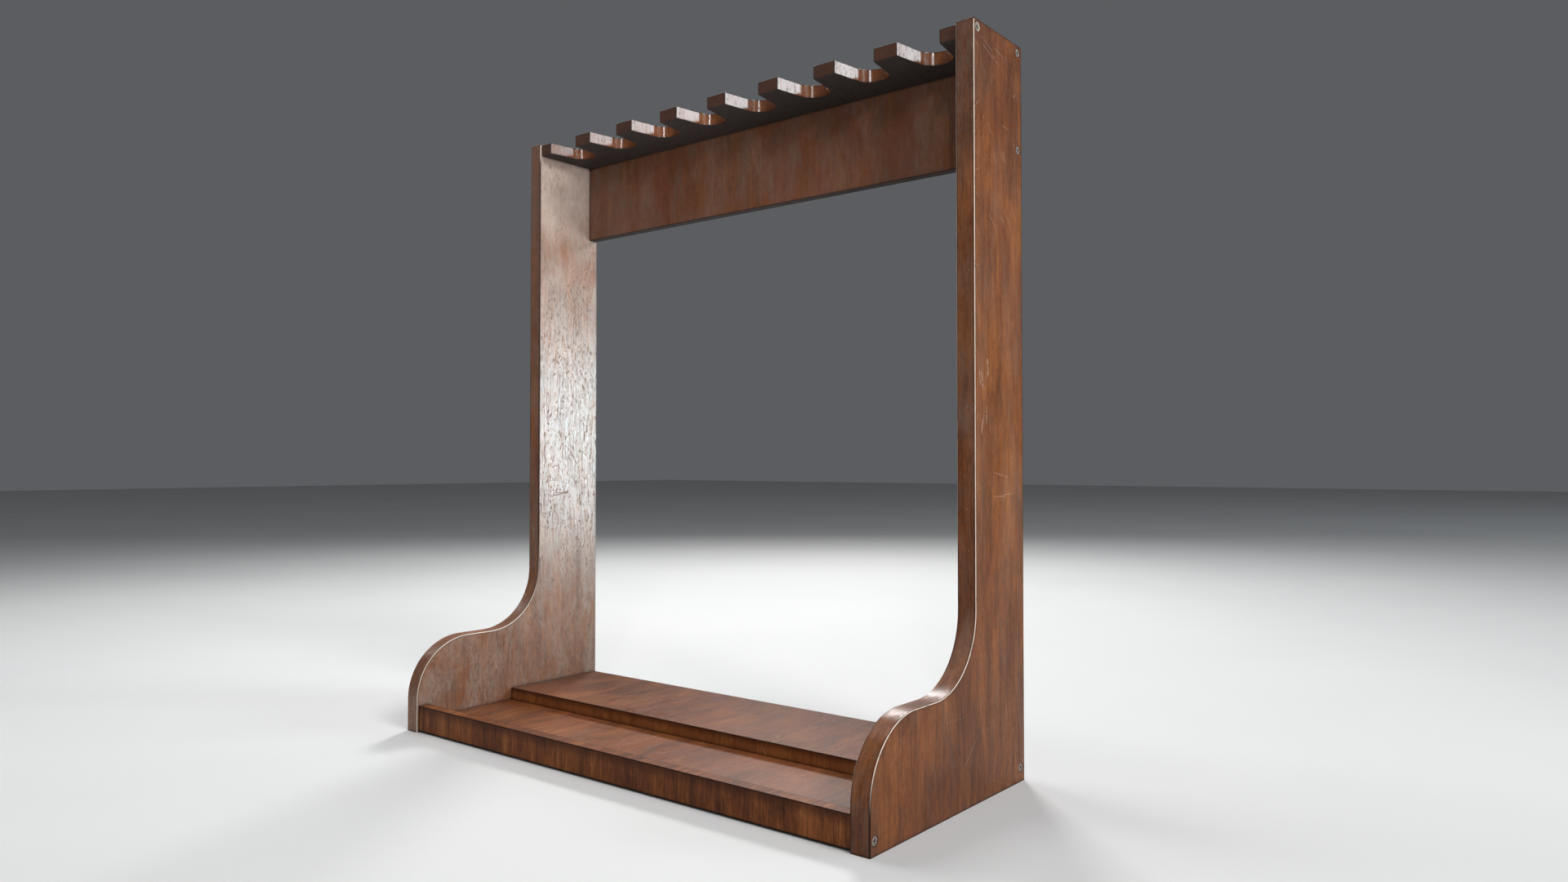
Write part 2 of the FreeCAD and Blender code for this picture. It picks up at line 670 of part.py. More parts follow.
def countersunk_screw(name, head, shank, length, recess_span):
    """A cross-recessed wood screw: head on top at z = 0, point down the -Z axis."""
    body = new_body(name)
    sketch = new_sketch(body, name + "_profile", "XZ_Plane")
    head_radius = value_of(f"{head} / 2")
    shank_radius = value_of(f"{shank} / 2")
    cone = head_radius - shank_radius
    total = value_of(length)
    tip = size("screw_tip")
    corners = ((0, 0), (head_radius, 0), (shank_radius, -cone), (shank_radius, tip - total),
               (0, -total))
    lines = []
    for index, corner in enumerate(corners):
        lines.append(add_line(sketch, corner, corners[(index + 1) % len(corners)]))
    top, side, body_line, point, axis = lines
    for here, after in zip(lines, lines[1:] + lines[:1]):
        sketch.addConstraint(Sketcher.Constraint("Coincident", here, 2, after, 1))
    sketch.addConstraint(Sketcher.Constraint("Coincident", top, 1, -1, 1))
    sketch.addConstraint(Sketcher.Constraint("Horizontal", top))
    sketch.addConstraint(Sketcher.Constraint("Vertical", body_line))
    sketch.addConstraint(Sketcher.Constraint("Vertical", axis))
    drive(sketch, "head", f"{head} / 2", "DistanceX", top, 1, top, 2)
    drive(sketch, "shank", f"{shank} / 2", "DistanceX", -1, 1, body_line, 1)
    drive(sketch, "cone", f"( {head} - {shank} ) / 2", "DistanceY", side, 2, side, 1)
    drive(sketch, "total", length, "DistanceY", axis, 1, axis, 2)
    drive(sketch, "tip", "screw_tip", "DistanceY", point, 2, point, 1)
    turned = body.newObject("PartDesign::Revolution", name + "_turned")
    turned.Profile = (sketch, [""])
    turned.ReferenceAxis = (sketch, ["V_Axis"])
    turned.Angle = 360
    doc.recompute()

    arm = "recess_arm / 2"
    reach = f"{recess_span} / 2"
    features = []
    for label, wide, tall in (("across", reach, arm), ("along", arm, reach)):
        recess = new_sketch(body, f"{name}_recess_{label}", "XY_Plane")
        add_rectangle(recess, "recess", f"-1 * {wide}", wide, f"-1 * {tall}", tall)
        features.append(pocket(body, f"{name}_recess_cut_{label}", recess, "recess_depth"))
    return body


def wooden_dowel(name):
    """A dowel along its own Z axis, from z = 0, with a bevel at each end."""
    body = new_body(name)
    sketch = new_sketch(body, name + "_section", "XY_Plane")
    add_circle(sketch, "section", "0", "0", "dowel_diameter")
    rod = pad(body, name + "_rod", sketch, "dowel_length")
    rims = [f"Edge{index}" for index, edge in enumerate(rod.Shape.Edges, start=1)
            if isinstance(edge.Curve, Part.Circle)]
    bevel = body.newObject("PartDesign::Chamfer", name + "_bevel")
    bevel.Base = (rod, rims)
    bind(bevel, "Size", "dowel_chamfer")
    doc.recompute()
    return body


def side_screws_and_dowels(side):
    """The screws and dowels that hold one side panel to the boards."""
    prefix = SIDE_NAMES[side] + "_"
    outward = Rotation(Vector(0, 1, 0), 90 * side)
    head_plane = f"{side} * ( half_inner + side_thickness - screw_sink )"
    for screw, (inset, rise, length) in SIDE_SCREWS.items():
        body = countersunk_screw(prefix + screw, "screw_head", "screw_shank", length,
                                 "recess_span")
        place(body, head_plane, f"half_depth - {inset}", rise, outward)
    dowel_start = f"{side} * ( half_inner + side_dowel_depth - dowel_length )"
    for dowel, (inset, rise) in SIDE_DOWELS.items():
        body = wooden_dowel(prefix + dowel)
        place(body, dowel_start, f"half_depth - {inset}", rise, outward)


def joint_dowels():
    """The dowels along the three board-to-board joints."""
    to_front = Rotation(Vector(1, 0, 0), 90)
    upward = Rotation()
    joints = (
        ("lip_dowel", f"half_depth - lip_back + dowel_length - edge_dowel_depth",
         "tread_middle", to_front),
        ("step_dowel", "half_depth - step_depth + dowel_length / 2", "tread_middle", to_front),
        ("shelf_dowel", "half_depth - rail_thickness / 2",
         "shelf_bottom + edge_dowel_depth - dowel_length", upward),
    )
    count = int(size("joint_dowel_count"))
    for name, back, rise, rotation in joints:
        for number in range(count):
            across = f"( {number} - ( joint_dowel_count - 1 ) / 2 ) * joint_dowel_pitch"
            place(wooden_dowel(f"{name}_{number + 1}"), across, back, rise, rotation)


def keyhole_plate(side):
    """A keyhole plate let into the back of the rail, and its two screws."""
    name = SIDE_NAMES[side] + "_keyhole_plate"
    across = f"{side} * hanger_spacing / 2"
    body = new_body(name)
    outline = new_sketch(body, name + "_outline", "XZ_Plane")
    stadium(outline, "plate", "0", "-1 * ( plate_length - plate_width ) / 2",
            "( plate_length - plate_width ) / 2", "plate_width")
    pad(body, name + "_sheet", outline, "plate_thickness")
    entry = new_sketch(body, name + "_entry_outline", "XZ_Plane")
    add_circle(entry, "entry", "0", "-1 * keyhole_run / 2", "keyhole_entry")
    through_pocket(body, name + "_entry", entry)
    slot = new_sketch(body, name + "_slot_outline", "XZ_Plane")
    stadium(slot, "slot", "0", "-1 * keyhole_run / 2", "keyhole_run / 2", "keyhole_slot")
    through_pocket(body, name + "_slot", slot)
    marks = new_sketch(body, name + "_screw_marks", "XZ_Plane")
    add_circle(marks, "lower", "0", "-1 * plate_screw_pitch / 2", "plate_hole")
    add_circle(marks, "upper", "0", "plate_screw_pitch / 2", "plate_hole")
    countersunk_holes(body, name + "_screw_holes", marks, "plate_hole", "plate_countersink",
                      True)
    place(body, across, "half_depth", "rail_middle")

    backward = Rotation(Vector(1, 0, 0), -90)
    for label, sign in (("lower", "-"), ("upper", "+")):
        screw = countersunk_screw(f"{name}_{label}_screw", "plate_screw_head",
                                  "plate_screw_shank", "plate_screw_length",
                                  "plate_recess_span")
        place(screw, across, "half_depth - screw_clearance",
              f"rail_middle {sign} plate_screw_pitch / 2", backward)


# ---------------------------------------------------------------- checks and files

def check_document():
    """Stop if an object failed to compute or a piece is not one good solid."""
    for item in doc.Objects:
        if "Invalid" in item.State or "Error" in item.State:
            raise RuntimeError(f"{item.Label} did not compute: {item.State}")
    for body in finished_bodies:
        shape = body.Shape
        if shape.isNull() or not shape.isValid() or len(shape.Solids) != 1:
            raise RuntimeError(f"{body.Label} is not one valid solid")


def write_parts():
    """One STEP file for each piece, named after it."""
    os.makedirs("parts", exist_ok=True)
    for body in finished_bodies:
        body.Shape.exportStep(f"parts/{body.Label}.step")


fill_sheet()
side_panel(LEFT)
side_panel(RIGHT)
cue_notch_shelf()
back_rail()
front_lip()
tread_board()
rear_step()
for panel_side in (LEFT, RIGHT):
    side_screws_and_dowels(panel_side)
joint_dowels()
for panel_side in (LEFT, RIGHT):
    keyhole_plate(panel_side)
doc.recompute()
check_document()
write_parts()
print(f"{len(finished_bodies)} pieces written")
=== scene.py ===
import math
import random
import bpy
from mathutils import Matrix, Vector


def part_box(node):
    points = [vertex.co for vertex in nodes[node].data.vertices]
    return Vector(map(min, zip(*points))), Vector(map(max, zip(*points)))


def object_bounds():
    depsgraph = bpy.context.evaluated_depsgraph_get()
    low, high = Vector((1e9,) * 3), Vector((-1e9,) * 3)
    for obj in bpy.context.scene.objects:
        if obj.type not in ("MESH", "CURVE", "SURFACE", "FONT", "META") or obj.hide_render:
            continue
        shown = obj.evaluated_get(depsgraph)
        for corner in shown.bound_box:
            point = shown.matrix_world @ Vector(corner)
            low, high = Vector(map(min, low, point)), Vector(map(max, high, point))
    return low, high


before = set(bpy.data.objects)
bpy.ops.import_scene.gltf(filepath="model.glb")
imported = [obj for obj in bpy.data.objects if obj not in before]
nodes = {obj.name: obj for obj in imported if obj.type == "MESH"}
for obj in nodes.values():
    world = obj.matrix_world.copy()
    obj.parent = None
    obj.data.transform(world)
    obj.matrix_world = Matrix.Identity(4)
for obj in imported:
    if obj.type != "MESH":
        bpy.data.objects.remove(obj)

from types import SimpleNamespace

import bpy
from mathutils import Vector

cad_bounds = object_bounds()
low, high = cad_bounds
WALL_Y = high.y
MM = 0.001
CM = 0.01
Y, Z = 1, 2             # places of the axes in a split position


# ---------------------------------------------------------------- shader helpers

def srgb(red, green, blue):
    """A screen colour, 0 to 255, as the linear colour that shaders take."""
    linear = []
    for channel in (red, green, blue):
        share = channel / 255
        linear.append(share / 12.92 if share <= 0.04045 else ((share + 0.055) / 1.055) ** 2.4)
    return (*linear, 1.0)


class Graph:
    """Adds shader nodes to one tree; every method returns the output socket it makes."""

    def __init__(self, tree):
        self.tree = tree

    def add(self, kind, inputs=None, output=0, **settings):
        node = self.tree.nodes.new("ShaderNode" + kind)
        for name, value in settings.items():
            setattr(node, name, value)
        for key, value in (inputs or {}).items():
            if isinstance(value, bpy.types.NodeSocket):
                self.tree.links.new(value, node.inputs[key])
            else:
                node.inputs[key].default_value = value
        return node.outputs[output]

    def math(self, operation, first, second=0.0, clamp=False):
        return self.add("Math", {0: first, 1: second}, operation=operation, use_clamp=clamp)

    def vector(self, operation, first, second=(0, 0, 0)):
        output = 1 if operation in ("LENGTH", "DISTANCE", "DOT_PRODUCT") else 0
        return self.add("VectorMath", {0: first, 1: second}, output, operation=operation)

    def combine(self, x=0.0, y=0.0, z=0.0):
        return self.add("CombineXYZ", {0: x, 1: y, 2: z})

    def split(self, vector):
        node = self.tree.nodes.new("ShaderNodeSeparateXYZ")
        self.tree.links.new(vector, node.inputs[0])
        return node.outputs[0], node.outputs[1], node.outputs[2]

    def smooth(self, value, start, end):
        """0 below start and 1 above end, or the other way round when start is above end."""
        low_end, high_end = min(start, end), max(start, end)
        near, far = (0.0, 1.0) if start < end else (1.0, 0.0)
        return self.add("MapRange", {0: value, 1: low_end, 2: high_end, 3: near, 4: far},
                        interpolation_type="SMOOTHSTEP")

    def choose(self, factor, first, second):
        """A number: first where factor is 0, second where it is 1."""
        node = self.tree.nodes.new("ShaderNodeMix")
        node.data_type = "FLOAT"
        for index, value in ((0, factor), (2, first), (3, second)):
            self._fill(node.inputs[index], value)
        return node.outputs[0]

    def choose_vector(self, factor, first, second):
        node = self.tree.nodes.new("ShaderNodeMix")
        node.data_type = "VECTOR"
        for index, value in ((0, factor), (4, first), (5, second)):
            self._fill(node.inputs[index], value)
        return node.outputs[1]

    def tint(self, factor, first, second, blend="MIX"):
        """A colour mixed from two."""
        node = self.tree.nodes.new("ShaderNodeMix")
        node.data_type = "RGBA"
        node.blend_type = blend
        for index, value in ((0, factor), (6, first), (7, second)):
            self._fill(node.inputs[index], value)
        return node.outputs[2]

    def _fill(self, socket, value):
        if isinstance(value, bpy.types.NodeSocket):
            self.tree.links.new(value, socket)
        else:
            socket.default_value = value

    def noise(self, vector, across, along, detail=3.0, rough=0.55, warp=0.0):
        """Noise whose features repeat across and along the grain, in features per metre."""
        stretched = self.vector("MULTIPLY", vector, (across, across, along))
        return self.add("TexNoise", {"Vector": stretched, "Scale": 1.0, "Detail": detail,
                                     "Roughness": rough, "Distortion": warp})

    def ramp(self, factor, stops):
        """A colour ramp from (position, colour) stops."""
        node = self.tree.nodes.new("ShaderNodeValToRGB")
        self.tree.links.new(factor, node.inputs[0])
        elements = node.color_ramp.elements
        while len(elements) < len(stops):
            elements.new(0.5)
        for element, (position, colour) in zip(elements, stops):
            element.position = position
            element.color = colour
        return node.outputs[0]

    def weighted(self, *terms):
        """The sum of value times weight over (value, weight) pairs."""
        total = None
        for value, weight in terms:
            part = self.math("MULTIPLY", value, weight)
            total = part if total is None else self.math("ADD", total, part)
        return total


# ---------------------------------------------------------------- stained wood

GRAIN_UPRIGHT = 0      # along Z on upright faces, along Y on level ones
GRAIN_SWEPT = 1        # the same, and along the swept edge of a side panel

# Stain colours from the darkest streak to the lightest.
STAIN = (
    (0.00, srgb(62, 36, 25)),
    (0.35, srgb(102, 59, 33)),
    (0.60, srgb(130, 77, 41)),
    (1.00, srgb(166, 106, 60)),
)
RED_STAIN = srgb(116, 60, 42)
GREY_STAIN = srgb(112, 86, 72)
# Dull lacquer; on the left panel's inner face it also stands in for painted sheen.
HAZE_AND_SHEEN = srgb(146, 128, 116)
# A pale painted sheen, laid high on a side panel's inner face.
PAINTED_SHEEN = srgb(186, 172, 162)
# Pale bare wood on rubbed arrises, which also paints a highlight.
BARE_WOOD_AND_HIGHLIGHT = srgb(232, 211, 194)
SCRATCH = srgb(212, 190, 170)
# Dark colour of the painted shade in inner corners and of the dark lines along each arris.
DARK_LINE_AND_SHADE = srgb(34, 18, 12)
UNDERSIDE_SHADE = srgb(14, 8, 7)
PORE = srgb(58, 33, 23)
PIT = srgb(92, 74, 66)
BURN = srgb(52, 28, 20)
FINGER_END = srgb(88, 64, 55)

# Noise patterns: features per metre across and along the grain, detail, roughness, warp.
PATTERNS = {
    "patch": (30.0, 12.0, 5.0, 0.62, 0.5),
    "band": (150.0, 9.0, 3.0, 0.60, 0.2),
    "fibre": (700.0, 34.0, 4.0, 0.68),
    "fleck": (260.0, 190.0, 3.0, 0.60),
    "red": (26.0, 7.0, 3.0, 0.55, 0.4),
    "grey": (34.0, 10.0, 5.0, 0.68, 0.8),
    "pore": (1050.0, 32.0, 2.0, 0.60),
    "cloud": (24.0, 8.0, 5.0, 0.68, 0.8),
    "mottle": (210.0, 75.0, 5.0, 0.72, 0.5),
    "gathering": (6.0, 4.0, 2.0, 0.50),
    "broken": (500.0, 500.0, 2.0),
    "pit": (430.0, 170.0, 5.0, 0.75, 0.3),
    "pitted_area": (28.0, 13.0, 3.0, 0.60),
    "ragged": (150.0, 45.0, 4.0, 0.70),
}
# Random marks, long, short and dots: cell size, half length, half width, share kept, drift.
RANDOM_MARKS = (
    (0.085, 0.026, 0.38 * MM, 0.40, 0.0),
    (0.026, 0.006, 0.40 * MM, 0.40, 0.3),
    (0.022, 0.0009, 0.8 * MM, 0.22, 0.6),
)
MIDDLE_STAIN = 0.55       # place on the stain ramp of a board with no tone of its own
EDGE_HAZE = 0.35          # haze on a side panel's front edge
CORNER_REACH = 5 * MM     # how far the painted shade spreads from an inner corner
ARRIS_RADIUS = 2.4 * MM   # how wide an arris is looked for
RELIEF_DEPTH = 1.2 * MM
LACQUER_IOR = 1.5

# What a board looks like where its own entry says nothing else.
PLAIN_LOOK = {
    "streaks": 1.0,       # contrast of the grain lines
    "patches": 1.0,       # contrast of the broad light and dark areas
    "tone": 0.0,          # lighter above 0, darker below
    "top_tone": 0.0,      # painted shade: a change in tone on level top faces only
    "deeper": (),         # (axis, start, end, change in tone)
    "redness": 0.4,
    "greyness": 0.45,
    "haze": 0.4,          # dull lacquer, on the inner face of a side panel; on the left panel's inner face it also paints sheen
    "inner": None,        # a side panel's inner side: 1 faces +X, -1 faces -X
    "outer_haze": 0.0,
    "haze_reach": (),     # (start, end) heights between which the outer haze fades
    "bloom": None,        # (start, end) heights of the painted sheen on an inner face
    "gloss": 0.32,        # roughness of the bare lacquer
    "shine": 0.5,         # specular level
    "wear": 1.0,          # strength of the scratches
    "marks": (),
    "dents": (),
    "pitting": 0.2,
    "relief": 1.0,
    "burn": None,         # (start, end) heights of the saw burn
    "bright_arris": (),   # (start, end) heights where an arris is rubbed bare and painted pale as a highlight
    "front": None,        # y of the shelf's front ends
    "front_shade": 0.0,
}


def grain_vector(graph, grain, seed):
    """(across, through, along) coordinates in metres for the face being shaded."""
    coordinate = graph.tree.nodes.new("ShaderNodeTexCoord")
    x, y, z = graph.split(coordinate.outputs["Object"])
    normal_x, normal_y, normal_z = graph.split(coordinate.outputs["Normal"])
    facing_side = graph.math("GREATER_THAN", graph.math("ABSOLUTE", normal_x), 0.7)
    facing_up = graph.math("GREATER_THAN", graph.math("ABSOLUTE", normal_z), 0.7)
    on_front = graph.combine(x, y, z)
    on_side = graph.combine(y, x, z)
    if grain == GRAIN_SWEPT:
        on_edge = graph.combine(x, 0.0, graph.math("ADD", y, z))
        chosen = graph.choose_vector(facing_side, on_edge, on_side)
    else:
        on_top = graph.combine(x, z, y)
        chosen = graph.choose_vector(facing_up, on_front, on_top)
        chosen = graph.choose_vector(facing_side, chosen, on_side)
    shift = (seed * 1.37, seed * 2.11, seed * 3.73)
    place = graph.vector("ADD", chosen, shift)
    return place, (x, y, z), (normal_x, normal_y, normal_z)


def scratches(graph, place, cell, half_length, half_width, share, drift):
    """Thin marks, one in some of the cells of a scattered grid, each at its own angle."""
    across, _through, along = graph.split(place)
    flat = graph.combine(across, along, drift)
    wander = graph.add("TexNoise", {"Vector": flat, "Scale": 1 / cell}, output=1)
    shift = graph.vector("SUBTRACT", wander, (0.5, 0.5, 0.5))
    bend = graph.vector("MULTIPLY", shift, (half_length * 0.5,) * 3)
    curved = graph.vector("ADD", flat, bend)
    cells = graph.add("TexVoronoi", {"Vector": curved, "Scale": 1 / cell, "Randomness": 1.0},
                      voronoi_dimensions="2D", feature="F1")
    voronoi = cells.node
    away = graph.vector("SUBTRACT", curved, voronoi.outputs["Position"])
    chance, turn, size = graph.split(voronoi.outputs["Color"])
    angle = graph.math("MULTIPLY", turn, math.tau)
    turned = graph.add("VectorRotate", {"Vector": away, "Angle": angle},
                       rotation_type="Z_AXIS")
    side, length, _rest = graph.split(turned)
    reach = graph.math("MULTIPLY", graph.math("ADD", size, 0.35), half_length)
    along_mark = graph.math("DIVIDE", graph.math("ABSOLUTE", length), reach)
    taper = graph.smooth(along_mark, 1.0, 0.6)
    thin = graph.smooth(graph.math("ABSOLUTE", side), half_width, half_width * 0.35)
    present = graph.math("LESS_THAN", chance, share)
    return graph.math("MULTIPLY", graph.math("MULTIPLY", taper, thin), present)


def corner_shade(graph, reach):
    """1 on open faces, falling to 0 in tight inner corners."""
    shade = graph.add("AmbientOcclusion", {"Distance": reach}, output=1, samples=6)
    broad = graph.smooth(shade, 0.10, 0.95)
    line = graph.smooth(shade, 0.50, 0.68)
    return graph.math("MULTIPLY", broad, graph.math("ADD", graph.math("MULTIPLY", line, 0.75),
                                                    0.25))


def placed_marks(graph, xyz, marks):
    """Single scratches: (centre y, centre z, half length, half width, lean from upright).

    Each mark's place waits on the total so far, a shift too small to see. Cycles then works
    the marks out one after another, within its shader memory."""
    _x, y, z = xyz
    total = 0.0
    for centre_y, centre_z, half_length, half_width, lean in marks:
        from_centre = graph.combine(graph.math("SUBTRACT", y, centre_y),
                                    graph.math("SUBTRACT", z, centre_z), 0.0)
        turned = graph.add("VectorRotate", {"Vector": from_centre, "Angle": lean},
                           rotation_type="Z_AXIS")
        side, length, _rest = graph.split(turned)
        taper = graph.smooth(graph.math("ABSOLUTE", length), half_length, half_length * 0.5)
        thin = graph.smooth(graph.math("ABSOLUTE", side), half_width, half_width * 0.3)
        total = graph.math("MAXIMUM", graph.math("MULTIPLY", taper, thin), total)
        y = graph.math("ADD", y, graph.math("MULTIPLY", total, 1e-9))
    return total


def edge_closeness(graph, radius):
    """0 on flat faces, rising towards 1 at the crown of an arris."""
    rounded = graph.add("Bevel", {"Radius": radius}, samples=4)
    geometry = graph.tree.nodes.new("ShaderNodeNewGeometry")
    match = graph.vector("DOT_PRODUCT", rounded, geometry.outputs["True Normal"])
    return graph.math("SUBTRACT", 1.0, match)


class Surface:
    """A board's shader as it is built up: its colour so far, and the masks later steps use."""

    def __init__(self, graph, grain, seed, look):
        self.graph = graph
        self.seed = seed
        self.look = look
        self.place, self.xyz, self.normal = grain_vector(graph, grain, seed)
        edge_axis = self.normal[0] if grain == GRAIN_SWEPT else self.normal[2]
        self.turned = graph.math("ABSOLUTE", edge_axis)
        self.colour = None

    def pattern(self, name):
        """One of the named noise patterns, laid along this board's grain."""
        return self.graph.noise(self.place, *PATTERNS[name])

    def lay(self, mask, strength, colour):
        """Cover the colour so far with another one, by a mask times a strength."""
        share = self.graph.math("MULTIPLY", mask, strength)
        self.colour = self.graph.tint(share, self.colour, colour)

    def stain(self):
        """Streaked brown stain, deeper or lighter where the board asks for it, with painted shade
        on level top faces.
        """
        graph, look = self.graph, self.look
        self.patch = self.pattern("patch")
        band = self.pattern("band")
        self.fibre = self.pattern("fibre")
        fleck = self.pattern("fleck")
        patch, band, fibre, fleck = [graph.math("SUBTRACT", value, 0.5)
                                     for value in (self.patch, band, self.fibre, fleck)]
        shade = graph.weighted((patch, 0.9 * look.patches), (band, 0.6 * look.streaks),
                               (fibre, 0.8 * look.streaks), (fleck, 0.35))
        for axis, start, end, change in look.deeper:
            reach = graph.smooth(self.xyz[axis], start, end)
            shade = graph.math("ADD", shade, graph.math("MULTIPLY", reach, change))
        # Painted shade: level top faces change in tone, darker on the base boards.
        facing_up = graph.smooth(self.normal[2], 0.6, 0.9)
        change = graph.math("MULTIPLY", facing_up, look.top_tone)
        shade = graph.math("ADD", shade, change)
        level = graph.math("ADD", shade, MIDDLE_STAIN + look.tone, True)
        self.colour = graph.ramp(level, STAIN)

    def cast(self):
        """Redder and greyer areas, and the dark open pores."""
        graph, look = self.graph, self.look
        red = self.pattern("red")
        self.lay(graph.smooth(red, 0.40, 0.66), look.redness, RED_STAIN)
        grey = self.pattern("grey")
        self.lay(graph.smooth(grey, 0.48, 0.68), look.greyness, GREY_STAIN)
        pore = self.pattern("pore")
        self.pores = graph.smooth(pore, 0.46, 0.34)
        self.lay(self.pores, min(0.45 * look.streaks, 0.62), PORE)

    def cloud_over(self):
        """Dull, mottled lacquer, which on the left panel's inner face also paints sheen, and a
        pale painted sheen high on an inner face.
        """
        graph, look = self.graph, self.look
        cloud = self.pattern("cloud")
        self.mottle = self.pattern("mottle")
        covered = graph.math("MULTIPLY", graph.smooth(self.mottle, 0.32, 0.64), 0.6)
        thick = graph.math("ADD", covered, 0.4)
        self.dull_and_sheen = graph.math("MULTIPLY", graph.smooth(cloud, 0.30, 0.68), thick)
        if look.inner is None:
            self.dull_and_sheen = graph.math("MULTIPLY", self.dull_and_sheen, look.haze)
        else:
            facing_in = self.hazy_sides()
        # Haze: dull lacquer, and on the left panel's inner face also painted sheen.
        self.colour = graph.tint(self.dull_and_sheen, self.colour, HAZE_AND_SHEEN)
        # Painted sheen: a pale colour laid evenly high on the inner face.
        if look.bloom is not None:
            high_up = graph.smooth(self.xyz[2], *look.bloom)
            upper = graph.math("MULTIPLY", high_up, facing_in)
            even = graph.math("ADD", graph.math("MULTIPLY", thick, 0.35), 0.42)
            upper = graph.math("MULTIPLY", upper, even)
            self.colour = graph.tint(upper, self.colour, PAINTED_SHEEN)

    def hazy_sides(self):
        """Share the haze, which is also painted sheen on the left inner face, between a side
        panel's faces. Returns the inner face's mask.
        """
        graph, look = self.graph, self.look
        inward = graph.math("MULTIPLY", self.normal[0], look.inner)
        facing_in = graph.smooth(inward, 0.3, 0.8)
        outer = look.outer_haze
        for start, end in look.haze_reach:
            outer = graph.math("MULTIPLY", graph.smooth(self.xyz[2], start, end), outer)
        on_edge = graph.smooth(graph.math("ABSOLUTE", self.normal[1]), 0.6, 0.9)
        outer = graph.math("MAXIMUM", graph.math("MULTIPLY", on_edge, EDGE_HAZE), outer)
        share = graph.choose(facing_in, outer, look.haze)
        self.dull_and_sheen = graph.math("MULTIPLY", self.dull_and_sheen, share)
        return facing_in

    def scratch(self):
        """Pale scratches and dots, strewn at random or placed by the board's look."""
        graph, look = self.graph, self.look
        gathering = graph.smooth(self.pattern("gathering"), 0.46, 0.60)
        long_marks, short_marks, dots = [self.random_marks(kind) for kind in RANDOM_MARKS]
        marks = graph.math("MULTIPLY", graph.math("MAXIMUM", short_marks, dots), gathering)
        faint = graph.math("MULTIPLY", long_marks, 0.28)
        marks = graph.math("MAXIMUM", marks, faint)
        placed = placed_marks(graph, self.xyz, look.marks)
        marks = graph.math("MAXIMUM", marks, placed)
        broken = graph.smooth(self.pattern("broken"), 0.32, 0.55)
        self.marks = graph.math("MULTIPLY", marks, broken)
        self.lay(self.marks, 0.6 * look.wear, SCRATCH)

    def random_marks(self, kind):
        """One kind of random mark. Its drift keeps it apart from the other kinds."""
        cell, half_length, half_width, share, drift = kind
        return scratches(self.graph, self.place, cell, half_length, half_width, share,
                         self.seed + drift)

    def pit(self):
        """Fine dark pits in some areas, and placed dents."""
        graph, look = self.graph, self.look
        pits = graph.smooth(self.pattern("pit"), 0.56, 0.63)
        area = graph.smooth(self.pattern("pitted_area"), 0.36, 0.50)
        pits = graph.math("MULTIPLY", pits, area)
        pits = graph.math("MULTIPLY", pits, look.pitting)
        placed = placed_marks(graph, self.xyz, look.dents)
        self.pits = graph.math("MAXIMUM", pits, placed)
        self.lay(self.pits, 0.75, PIT)

    def darken_faces(self):
        """Saw-burnt upright faces, painted shade on the undersides and in the inner corners."""
        graph, look = self.graph, self.look
        if look.burn is not None:
            singed = graph.math("MULTIPLY", graph.smooth(self.xyz[2], *look.burn), 0.6)
            upright = graph.smooth(self.normal[2], 0.8, 0.4)
            singed = graph.math("MULTIPLY", singed, upright)
            self.colour = graph.tint(singed, self.colour, BURN)
        # Painted shade: faces turned downwards are laid almost black.
        self.facing_down = graph.smooth(self.normal[2], -0.5, -0.9)
        self.lay(self.facing_down, 0.94, UNDERSIDE_SHADE)
        # Painted shade: ambient occlusion darkens the inner corners and joints.
        corner = corner_shade(graph, CORNER_REACH)
        self.lay(graph.math("SUBTRACT", 1.0, corner), 0.85, DARK_LINE_AND_SHADE)

    def wear_edges(self):
        """Dark lines along each arris, rubbed through to pale bare wood, also a painted
        highlight, where the look says.
        """
        graph = self.graph
        edge = edge_closeness(graph, ARRIS_RADIUS)
        self.lay(graph.smooth(edge, 0.002, 0.012), 0.80, DARK_LINE_AND_SHADE)
        ragged = self.pattern("ragged")
        crown = self.between(0.22, 0.45, 0.96, 0.86)
        middle = self.between(0.40, 0.54, 0.93, 0.82)
        worn_and_highlit = graph.math("MULTIPLY", middle, graph.smooth(ragged, 0.28, 0.44))
        rubbed = self.rubbed_highlit_heights()
        if self.look.front is not None:
            crown = self.shade_front(crown)
        self.lay(crown, 0.90, DARK_LINE_AND_SHADE)
        self.worn_and_highlit = graph.math("MULTIPLY", worn_and_highlit, rubbed)
        self.dark_arris = graph.math("SUBTRACT", crown, self.worn_and_highlit, True)
        # Pale bare wood on the arris: wear, and a painted highlight.
        self.lay(self.worn_and_highlit, 0.90, BARE_WOOD_AND_HIGHLIGHT)

    def between(self, rise_start, rise_end, fall_start, fall_end):
        """1 where the surface is turned part of the way from one flat face to the next."""
        graph = self.graph
        rise = graph.smooth(self.turned, rise_start, rise_end)
        fall = graph.smooth(self.turned, fall_start, fall_end)
        return graph.math("MULTIPLY", rise, fall)

    def rubbed_highlit_heights(self):
        """Where an arris is rubbed bare and painted pale as a highlight: the look's heights, off
        the wall and below the top.
        """
        graph = self.graph
        rubbed = 0.0
        for start, end in self.look.bright_arris:
            rubbed = graph.math("MAXIMUM", graph.smooth(self.xyz[2], start, end), rubbed)
        off_wall = graph.smooth(self.xyz[1], WALL_Y - 8 * MM, WALL_Y - 12 * MM)
        below_top = graph.smooth(self.xyz[2], high.z - 1.4 * MM, high.z - 2.6 * MM)
        open_side = graph.math("MULTIPLY", off_wall, below_top)
        return graph.math("MULTIPLY", rubbed, open_side)

